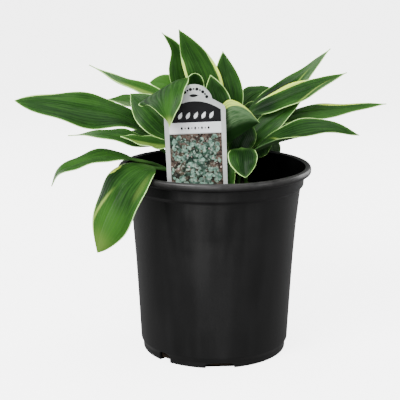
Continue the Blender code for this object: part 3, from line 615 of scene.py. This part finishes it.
def drain_cutter(direction, width, height, depth):
    """A squarish arch through the corner of the base, standing below the floor."""
    turn = math.radians(direction)
    steps = 12
    squareness = 0.6          # 1 is a half ellipse, 0 a rectangle
    below = -4
    arch = [(width / 2, below), (-width / 2, below)]
    for step in range(steps + 1):
        angle = math.pi * (1 - step / steps)
        side = math.copysign(abs(math.cos(angle))**squareness, math.cos(angle))
        arch.append((side * width / 2, height * math.sin(angle)**squareness))
    vertices = []
    for reach in (BASE_RADIUS - depth, BASE_RADIUS + 6):
        for shift, z in arch:
            vertices.append((math.cos(turn) * reach - math.sin(turn) * shift,
                             math.sin(turn) * reach + math.cos(turn) * shift, z))
    return vertices, prism_faces(len(arch))


def radius_at(height, profile):
    """Radius of a wall at a height."""
    wall = sorted((z, radius) for radius, z in profile)
    return float(np.interp(height, [z for z, _ in wall], [radius for _, radius in wall]))


def inside_mark(x, y, z):
    """1 on the pot's inner wall below the lip, and 0 elsewhere."""
    middle = radius_at(z, pot_outside()[FOOT_POINTS:-LIP_POINTS]) - WALL / 2
    return float(math.hypot(x, y) < middle and z < POT_HEIGHT - 1.0)


def make_pot(finish):
    """The pot with smooth walls, rounded corners and its drain openings."""
    pot = add_object("fine_pot", turned(rounded(pot_outside() + pot_inside())), finish, 32)
    cutters = []
    for number, drain in enumerate(DRAINS, 1):
        cutters.append(add_object("drain_cutter_%d" % number, drain_cutter(*drain)))
        boolean = pot.modifiers.new("cut_%d" % number, "BOOLEAN")
        boolean.operation = "DIFFERENCE"
        boolean.solver = "EXACT"
        boolean.object = cutters[-1]
    bpy.context.view_layer.update()
    solid = bpy.data.meshes.new_from_object(pot.evaluated_get(bpy.context.evaluated_depsgraph_get()))
    pot.modifiers.clear()
    pot.data = solid
    inner = solid.attributes.new("inner", "FLOAT", "POINT")
    inner.data.foreach_set("value", [inside_mark(*point.co / MM) for point in solid.vertices])
    for cutter in cutters:
        bpy.data.objects.remove(cutter, do_unlink=True)
    wear(pot, "pot_plastic", "pot")


def soil_height(x, y):
    """Height of the soil's surface, gently lumpy and a little higher round the crown."""
    lumps = math.sin(x / 9.0 + 0.6) * math.cos(y / 7.0) + 0.6 * math.sin(x / 4.5 - y / 5.5)
    crown = 2.0 * math.exp(-(x * x + y * y) / 900)
    return SOIL_LEVEL - 1.5 + SOIL_LUMP * 0.6 * lumps + crown


def grain(x, y):
    """Fine crumbs on the soil's surface."""
    coarse = noise.noise(Vector((x / 3.1, y / 3.1, 4.0)))
    fine = noise.noise(Vector((x / 1.3, y / 1.3, 9.0)))
    return 0.9 * coarse + 0.5 * fine


CRUMB_CORNERS = ((1, 0, 0), (-1, 0, 0), (0, 1, 0), (0, -1, 0), (0, 0, 1), (0, 0, -1))
CRUMB_FACES = ((0, 2, 4), (2, 1, 4), (1, 3, 4), (3, 0, 4), (2, 0, 5), (1, 2, 5), (3, 1, 5), (0, 3, 5))


def make_soil(finish):
    """The root ball with a crumbly top, and loose bark and grit lying on it."""
    heights = [FLOOR + GAP] + sorted(z for _, z in pot_inside() if FLOOR < z < SOIL_LEVEL - 8)
    heights.append(SOIL_LEVEL - 4)
    side_wall = [(radius_at(height, pot_inside()[:-1]) - SOIL_CLEAR, height) for height in heights]
    rings = np.linspace(SOIL_RADIUS, 1.5, SOIL_RINGS)
    profile = ([(0, FLOOR + GAP)] + side_wall + [(radius, SOIL_LEVEL) for radius in rings]
               + [(0, SOIL_LEVEL)])
    points, faces = turned(profile, SOIL_SIDES)
    surface = 1 + len(side_wall) * SOIL_SIDES
    points[surface:] = [(x, y, soil_height(x, y) + grain(x, y)) for x, y, _ in points[surface:]]
    pick = random.Random(41)
    for _ in range(CRUMBS):
        turn, far = pick.uniform(0, 2 * math.pi), (SOIL_RADIUS - 1) * math.sqrt(pick.random())
        x, y = far * math.cos(turn), far * math.sin(turn)
        size = pick.uniform(0.5, 1.7)
        stretch = pick.uniform(0.8, 2.6)
        lie = pick.uniform(0, math.pi)
        faces += [tuple(len(points) + corner for corner in face) for face in CRUMB_FACES]
        for dx, dy, dz in CRUMB_CORNERS:
            across, deep = dx * size * stretch, dy * size
            points.append((x + across * math.cos(lie) - deep * math.sin(lie) + pick.uniform(-0.2, 0.2),
                           y + across * math.sin(lie) + deep * math.cos(lie) + pick.uniform(-0.2, 0.2),
                           soil_height(x, y) + 0.4 + dz * size * 0.7))
    wear(add_object("fine_soil", (points, faces), finish, 40), "potting_soil", "soil")


def label_outline():
    """Outline of the label from its lower tip, counter-clockwise seen from -Y."""
    half = LABEL_WIDTH / 2
    shoulder = LABEL_LENGTH - LABEL_SHOULDER
    right = [(0, 0), (half - LABEL_POINT_IN, LABEL_POINT), (half - 0.6, LABEL_POINT + 10),
             (half, shoulder), (half - 0.7, shoulder + 2.5), (half - 2.6, shoulder + 4.2),
             (LABEL_ARCH + 1.6, shoulder + 7.9)]
    arch = arc(0, ARCH_CENTRE, LABEL_ARCH, 10, 170, ARCH_STEPS)
    left = [(-x, z) for x, z in reversed(right[1:])]
    return right + arch + left


def plate(points, y_front, y_back):
    """A flat plate of an outline between two depths, brought from the label's own
    frame, with its tip at the origin, to its leaning place in the pot."""
    lean = math.radians(LABEL_LEAN)
    vertices = []
    for y in (y_front, y_back):
        for x, z in points:
            vertices.append((LABEL_TIP_X + x * math.cos(lean) - z * math.sin(lean), LABEL_Y + y,
                             LABEL_TIP_Z + x * math.sin(lean) + z * math.cos(lean)))
    return vertices, prism_faces(len(points))


def leaf_mark(x, z, length, width, turn):
    """A plain pointed leaf shape, as an outline up one side and down the other."""
    direction = math.radians(turn)
    points = []
    for side, places in ((1, (0, 0.2, 0.4, 0.6, 0.8)), (-1, (1, 0.8, 0.6, 0.4, 0.2))):
        for t in places:
            out = side * width / 2 * math.sin(math.pi * t**0.8)
            points.append((x + length * t * math.cos(direction) - out * math.sin(direction),
                           z + length * t * math.sin(direction) + out * math.cos(direction)))
    return points


def panel(low, high):
    """Outline of a panel across the printed width."""
    return [(-PRINT_HALF, low), (PRINT_HALF, low), (PRINT_HALF, high), (-PRINT_HALF, high)]


def arched_panel(low, shoulder, apex):
    """Outline of the dark panel: straight foot and sides under a shallow arch."""
    points = [(-PRINT_HALF, low), (PRINT_HALF, low)]
    for step in range(13):
        x = PRINT_HALF - 2 * PRINT_HALF * step / 12
        points.append((x, shoulder + (apex - shoulder) * (1 - (x / PRINT_HALF)**2)))
    return points


def printed(name, outlines, finish, top=1.0, below=0.0, step=0.0):
    """A print on the card's face: flat outlines between two thicknesses of ink, each a
    step further out than the last."""
    card = -LABEL_THICK / 2
    vertices, faces = [], []
    for number, points in enumerate(outlines):
        more, ring = plate(points, card - top * PRINT_THICK - step * number, card - below * PRINT_THICK)
        faces += [tuple(len(vertices) + corner for corner in face) for face in ring]
        vertices += more
    made = add_object(name, (vertices, faces), finish)
    wear(made, "label_plastic")
    return made


def dark_outlines():
    """The arched panel, the beads and leaf mark above it, and the lozenges below it."""
    shapes = [arched_panel(*PANEL)]
    for number, (x, z) in enumerate(arc(0, ARCH_CENTRE, BEAD_ARCH, 24, 156, 10)):
        shapes.append(arc(x, z, BEAD_RADII[number % 2], 0, 324, 9))
    shapes.append(leaf_mark(*CREST_MARK))
    for number in range(9):
        x, half = 2.8 * number - 11.2, LOZENGE_HALVES[number % 2]
        shapes.append([(x - half, LOZENGE_Z), (x, LOZENGE_Z - 1.5 * half),
                       (x + half, LOZENGE_Z), (x, LOZENGE_Z + 1.5 * half)])
    return shapes


def print_foliage(finish):
    """Leaves and petals strewn over the picture, each with its tint on its points."""
    foot, top = PICTURE
    pick = random.Random(17)
    motifs, colours = [], []
    for _ in range(MOTIFS):
        z = pick.uniform(foot + 2, top - 0.6)
        x = pick.uniform(-PRINT_HALF + 1, PRINT_HALF - 1)
        flower = pick.random() < FLOWER_SHARE
        length = pick.uniform(1.2, 2.6) if flower else pick.uniform(2.5, 6.5)
        shape = leaf_mark(x, z, length, length * pick.uniform(0.45, 0.8), pick.uniform(0, 360))
        if all(abs(px) < PRINT_HALF - 0.2 and foot + 0.3 < pz < top - 0.3 for px, pz in shape):
            shade = pick.uniform(0.15, 1.0)**1.3
            if flower:
                tint = PETAL
            else:
                tint = BROWN_LEAF if pick.random() < BROWN_SHARE else GREEN_LEAF
            motifs.append(shape)
            colours += [(*(part * shade for part in tint), 1.0)] * (2 * len(shape))
    foliage = printed("label_foliage_print", motifs, finish, 1.2, 1.0, MOTIF_LAYER)
    paint = foliage.data.attributes.new("tint", "FLOAT_COLOR", "POINT")
    paint.data.foreach_set("color", np.array(colours, np.float32).ravel())


def make_label(card, white, dark, picture, foliage):
    """The card and its plain printed design: beads along the arch, a dark panel with a
    row of leaf marks, a white band with small lozenges, and a panel of mottled foliage."""
    half = LABEL_THICK / 2
    wear(add_object("label_card", plate(label_outline(), -half, half), card), "label_plastic",
         "plant_label")
    printed("label_dark_print", dark_outlines(), dark, 2.0)
    printed("label_white_band", [panel(*BAND)], white)
    printed("label_picture_ground", [panel(*PICTURE)], picture)
    marks = [leaf_mark(6.5 * number - 13.5, *ROW_MARK) for number in range(5)]
    printed("label_light_marks", marks, white, 3.0, 2.0)
    print_foliage(foliage)


# --- materials ---

class Shader:
    """A material whose nodes are made and linked by short calls."""

    def __init__(self, name):
        self.material = bpy.data.materials.new(name)
        self.material.use_nodes = True
        self.tree = self.material.node_tree
        self.body = self.tree.nodes["Principled BSDF"]

    def feed(self, socket, value):
        """Link an output to the socket, or set the socket's own value."""
        if isinstance(value, bpy.types.NodeSocket):
            self.tree.links.new(value, socket)
        elif isinstance(value, tuple) and socket.type == "RGBA":
            socket.default_value = (*value, 1)
        else:
            socket.default_value = value

    def node(self, kind, values=(), **settings):
        """A new node; values are pairs of a socket and what it is fed."""
        made = self.tree.nodes.new(kind)
        for key, value in settings.items():
            setattr(made, key, value)
        for socket, value in values:
            self.feed(made.inputs[socket], value)
        return made

    def attribute(self, name, output="Fac"):
        return self.node("ShaderNodeAttribute", attribute_name=name).outputs[output]

    def math(self, operation, a, b=0.0, c=0.0):
        return self.node("ShaderNodeMath", ((0, a), (1, b), (2, c)), operation=operation).outputs[0]

    def times(self, a, b):
        return self.math("MULTIPLY", a, b)

    def span(self, value, low, high, to_low=0.0, to_high=1.0):
        """The value mapped smoothly from one range to another and kept inside it."""
        return self.node("ShaderNodeMapRange", (("Value", value), ("From Min", low), ("From Max", high),
                                                ("To Min", to_low), ("To Max", to_high)),
                         interpolation_type="SMOOTHSTEP").outputs["Result"]

    def mix(self, factor, a, b):
        return self.node("ShaderNodeMix", ((0, factor), (6, a), (7, b)), data_type="RGBA").outputs[2]

    def over(self, base, colour, value, low, high, most=1.0):
        """The base, with the colour coming in over it as the value goes from low to high."""
        return self.mix(self.span(value, low, high, 0.0, most), base, colour)

    def place(self):
        return self.node("ShaderNodeTexCoord").outputs["Object"]

    def vector(self, x, y, z=0.0):
        return self.node("ShaderNodeCombineXYZ", ((0, x), (1, y), (2, z))).outputs[0]

    def noise(self, vector, scale, detail=3.0, rough=0.5):
        return self.node("ShaderNodeTexNoise", (("Vector", vector), ("Scale", scale), ("Detail", detail),
                                                ("Roughness", rough))).outputs["Fac"]

    def cells(self, vector, scale):
        return self.node("ShaderNodeTexVoronoi", (("Vector", vector), ("Scale", scale))).outputs["Color"]

    def bump(self, height, strength, distance):
        made = self.node("ShaderNodeBump", (("Height", height), ("Strength", strength),
                                            ("Distance", distance)))
        self.feed(self.body.inputs["Normal"], made.outputs[0])

    def finish(self, colour, rough, gloss=0.5, **others):
        """The material, with its colour, roughness, gloss and other inputs set."""
        values = {"Base_Color": colour, "Roughness": rough, "Specular_IOR_Level": gloss, **others}
        for key, value in values.items():
            self.feed(self.body.inputs[key.replace("_", " ")], value)
        return self.material


def leaf_look():
    """Dark green blades with lighter veins and ragged cream margins, dull grey-green
    undersides and pale stalks, with painted light and shade that make leaves lighter or nearly black."""
    look = Shader("hosta_leaf")
    across, along, edge, cream, pale, drab, tone, stem, under, seed = [
        look.attribute(name) for name in (*FACTS, "under", "seed")]

    def fibres(wide, long, scale, detail):
        """Noise drawn out along the leaf."""
        place = look.vector(look.times(across, wide), look.times(along, long), seed)
        return look.noise(place, scale, detail)

    streaks = fibres(5.0, 1.2, 3.0, 2.0)
    fine = fibres(40.0, 6.0, 1.0, 3.0)
    grain = fibres(26.0, 2.5, 1.0, 2.0)
    blotch = look.noise(look.place(), 45.0, 3.0)

    inside = look.math("SUBTRACT", edge, cream)
    tongues = look.math("MULTIPLY_ADD", streaks, 3.2, -1.6)
    ragged = look.times(tongues, look.span(cream, 0.8, 3.0))
    green_here = look.span(look.math("ADD", inside, ragged), -0.2, 0.35)
    deep_here = look.span(look.math("MULTIPLY_ADD", tongues, 1.4, inside), 0.2, 3.5)
    vein = look.math("ABSOLUTE", look.math("SINE", look.times(across, math.pi * VEINS)))
    groove = look.math("SUBTRACT", 1.0, look.span(vein, 0.0, 0.55))

    dark = look.over(DARK_GREEN, MIDDLE_GREEN, fine, 0.3, 0.7)
    dark = look.over(dark, LIGHT_GREEN, streaks, 0.45, 0.7, 0.4)
    dark = look.over(dark, LIGHT_GREEN, blotch, 0.4, 0.75, 0.25)
    # Painted light and shade: leaves and patches with a high level turn light green, those below 0 nearly
    # black.
    toned = look.over(dark, LIGHT_GREEN, tone, 0.0, 1.0)
    toned = look.over(toned, SHADE_GREEN, tone, 0.0, -1.0)
    face = look.mix(deep_here, look.mix(0.35, toned, LIGHT_GREEN), toned)
    face = look.mix(look.times(groove, VEIN_SHOW), face, VEIN_GREEN)
    face = look.mix(pale, face, YELLOW_GREEN)

    margin = look.over(CREAM, CREAM_YELLOW, fine, 0.25, 0.75)
    margin = look.over(margin, BAND_YELLOW, cream, 1.2, 3.0, 0.7)
    streaked = look.times(look.span(grain, 0.5, 0.65, 0.0, 0.75), look.span(cream, 1.0, 2.6))
    margin = look.mix(streaked, margin, YELLOW_GREEN)

    dull = look.over(UNDER_DARK, UNDER_LIGHT, fine, 0.3, 0.7)
    dull = look.mix(look.times(groove, 0.5 * VEIN_SHOW), dull, UNDER_VEIN)
    # Painted shade: undersides of leaves in shade turn nearly black.
    dull = look.over(dull, UNDER_SHADE, tone, 0.0, -1.0)

    top = look.mix(green_here, margin, look.mix(drab, face, dull))
    below = look.mix(green_here, look.mix(0.35, margin, UNDER_LIGHT), dull)
    stalk = look.over(STALK_GREEN, STALK_PALE, blotch, 0.3, 0.7)
    colour = look.over(look.mix(under, top, below), stalk, stem, 0.1, 0.8)

    rough = look.math("MULTIPLY_ADD", under, 0.16, look.span(fine, 0.2, 0.8, 0.34, 0.46))
    look.bump(look.math("ADD", look.times(fine, 0.7), look.times(blotch, 0.6)), 0.35, 0.0003)
    return look.finish(colour, rough, LEAF_SHINE, Subsurface_Weight=0.06,
                       Subsurface_Radius=(0.5, 1.0, 0.25), Subsurface_Scale=0.0012)


def pot_look():
    """Black moulded plastic, satin and a little dusty outside, with faint upright
    smears, a rubbed smear with painted highlight on the front, dust and painted highlight
    on the lip's top, and dull inside, where painted shade darkens the inner wall."""
    look = Shader("pot_black")
    place = look.place()
    inner = look.attribute("inner")
    upright = look.node("ShaderNodeMapping", ((0, place), ("Scale", (60.0, 60.0, 9.0)))).outputs[0]
    smear = look.noise(upright, 1.0, 4.0)
    speck = look.noise(place, 900.0, 2.0)
    cloud = look.noise(place, 22.0, 3.0)
    colour = look.over(POT_BLACK, POT_GREY, smear, 0.4, 0.8)
    colour = look.over(colour, POT_DUST_AND_SHEEN, speck, 0.66, 0.78, 0.25)
    # Rubbed smear and painted highlight: a blotchy lighter patch on the front of the pot.
    near = look.node("ShaderNodeVectorMath", ((0, place), (1, RUBBED_SHEEN_PLACE)), operation="DISTANCE")
    rubbed_sheen = look.times(look.span(near.outputs["Value"], 0.062, 0.01),
                        look.span(look.math("ADD", cloud, smear), 0.75, 1.2))
    colour = look.mix(rubbed_sheen, colour, POT_RUBBED_SHEEN)
    # Dust and painted highlight: the top of the lip turns lighter grey.
    height = look.node("ShaderNodeSeparateXYZ", ((0, place),)).outputs["Z"]
    lip_dust_and_sheen = look.span(look.noise(place, 130.0, 4.0), 0.3, 0.62, 0.15, 0.8)
    colour = look.mix(look.times(look.span(height, 0.160, 0.1655), lip_dust_and_sheen), colour, POT_DUST_AND_SHEEN)
    # Painted shade: the inner wall is darker than the outside.
    colour = look.mix(inner, colour, POT_INNER_SHADE)
    rough = look.math("ADD", look.span(smear, 0.3, 0.7, 0.0, 0.1), look.span(cloud, 0.3, 0.7, 0.34, 0.46))
    rough = look.math("MULTIPLY_ADD", inner, 0.5, rough)
    gloss = look.math("MULTIPLY_ADD", inner, POT_INNER_SHINE - POT_SHINE, POT_SHINE)
    look.bump(look.math("MULTIPLY_ADD", speck, 0.5, smear), 0.12, 0.0004)
    return look.finish(colour, rough, gloss)


def soil_look():
    """Dark peaty soil with paler fibres and bark."""
    look = Shader("potting_soil")
    place = look.place()
    lump = look.noise(place, 260.0, 4.0, 0.65)
    colour = look.over(SOIL_DARK, SOIL_BROWN, lump, 0.3, 0.7)
    colour = look.over(colour, SOIL_BARK, look.cells(place, 420.0), 0.62, 0.95, 0.5)
    look.bump(lump, 0.8, 0.0012)
    return look.finish(colour, 0.93, 0.2)


def card_look(name, colours, roughness=0.4, gloss=0.3):
    """Printed plastic card of a nearly even colour."""
    look = Shader(name)
    place = look.place()
    fleck = look.noise(place, 1500.0, 2.0)
    colour = look.over(*colours, look.noise(place, 55.0, 3.0), 0.35, 0.65)
    rough = look.span(fleck, 0.3, 0.7, roughness - 0.05, roughness + 0.05)
    look.bump(fleck, 0.08, 0.0002)
    return look.finish(colour, rough, gloss)


def ground_look():
    """Mottled print of undergrowth, deep green with patches of brown and grey."""
    look = Shader("label_undergrowth")
    place = look.place()
    mottle = look.noise(place, 300.0, 4.0, 0.7)
    green = look.over(*GROUND_GREENS, mottle, 0.4, 0.65)
    brown = look.over(*GROUND_BROWNS, mottle, 0.4, 0.65)
    colour = look.over(green, brown, look.noise(place, 55.0, 2.0), 0.42, 0.56)
    colour = look.over(colour, GROUND_SPOT, look.cells(place, 520.0), 0.75, 1.0, 0.7)
    return look.finish(colour, 0.5, 0.15)


def motif_look():
    """Printed leaves and petals, each tinted by its own value and paler or darker at
    random."""
    look = Shader("label_foliage")
    grainy = look.noise(look.place(), 500.0, 3.0)
    colour = look.over(look.attribute("tint", "Color"), MOTIF_PALE, grainy, 0.5, 0.68, 0.6)
    colour = look.over(colour, MOTIF_DARK, grainy, 0.48, 0.32, 0.7)
    return look.finish(colour, 0.5, 0.15)


def floor_look():
    """Plain pale paper with the slightest mottling."""
    look = Shader("floor_white")
    colour = look.over(*FLOOR_COLOURS, look.noise(look.place(), 6.0, 3.0), 0.3, 0.7)
    return look.finish(colour, 0.8, Emission_Color=(1.0, 1.0, 1.0), Emission_Strength=FLOOR_GLOW)


# --- light and camera ---

def lamp(name, place, size, power):
    """A soft square lamp at a place in metres, looking at the plant."""
    data = bpy.data.lights.new(name, "AREA")
    data.shape = "SQUARE"
    data.size = size
    data.energy = power
    made = in_scene(name, data)
    made.location = place
    made.rotation_mode = "QUATERNION"
    made.rotation_quaternion = (Vector(LAMP_AIM) - Vector(place)).to_track_quat("-Z", "Y")


def make_surroundings():
    """The floor, the pale world, the lamps and the camera."""
    sheet = bpy.data.meshes.new("floor")
    far = FLOOR_REACH
    sheet.from_pydata([(-far, -far, 0), (far, -far, 0), (far, far, 0), (-far, far, 0)], [], [(0, 1, 2, 3)])
    sheet.materials.append(floor_look())
    ground = in_scene("floor", sheet)
    ground.visible_diffuse = False
    ground.visible_glossy = False

    world = bpy.data.worlds.new("studio")
    world.use_nodes = True
    back = world.node_tree.nodes["Background"]
    back.inputs["Color"].default_value = (1.0, 1.0, 1.0, 1)
    back.inputs["Strength"].default_value = WORLD_LIGHT
    bpy.context.scene.world = world

    for row in LAMPS:
        lamp(*row)

    data = bpy.data.cameras.new("camera")
    data.lens = LENS
    data.sensor_width = 36.0
    data.clip_start = 0.01
    data.clip_end = 100.0
    camera = in_scene("camera", data)
    camera.location = [value * MM for value in CAMERA_PLACE]
    camera.rotation_euler = (math.radians(90 - CAMERA_PITCH), 0, 0)
    bpy.context.scene.camera = camera


def main():
    """Build the visual pieces and their surroundings."""
    make_pot(pot_look())
    make_soil(soil_look())
    make_label(card_look("label_card", CARD_COLOURS), card_look("label_white", WHITE_COLOURS),
               card_look("label_ink", INK_COLOURS, 0.5, 0.12), ground_look(), motif_look())
    green = leaf_look()
    for number, item in enumerate(LEAVES, 1):
        leaf_piece(item, number, green)
    make_surroundings()


main()
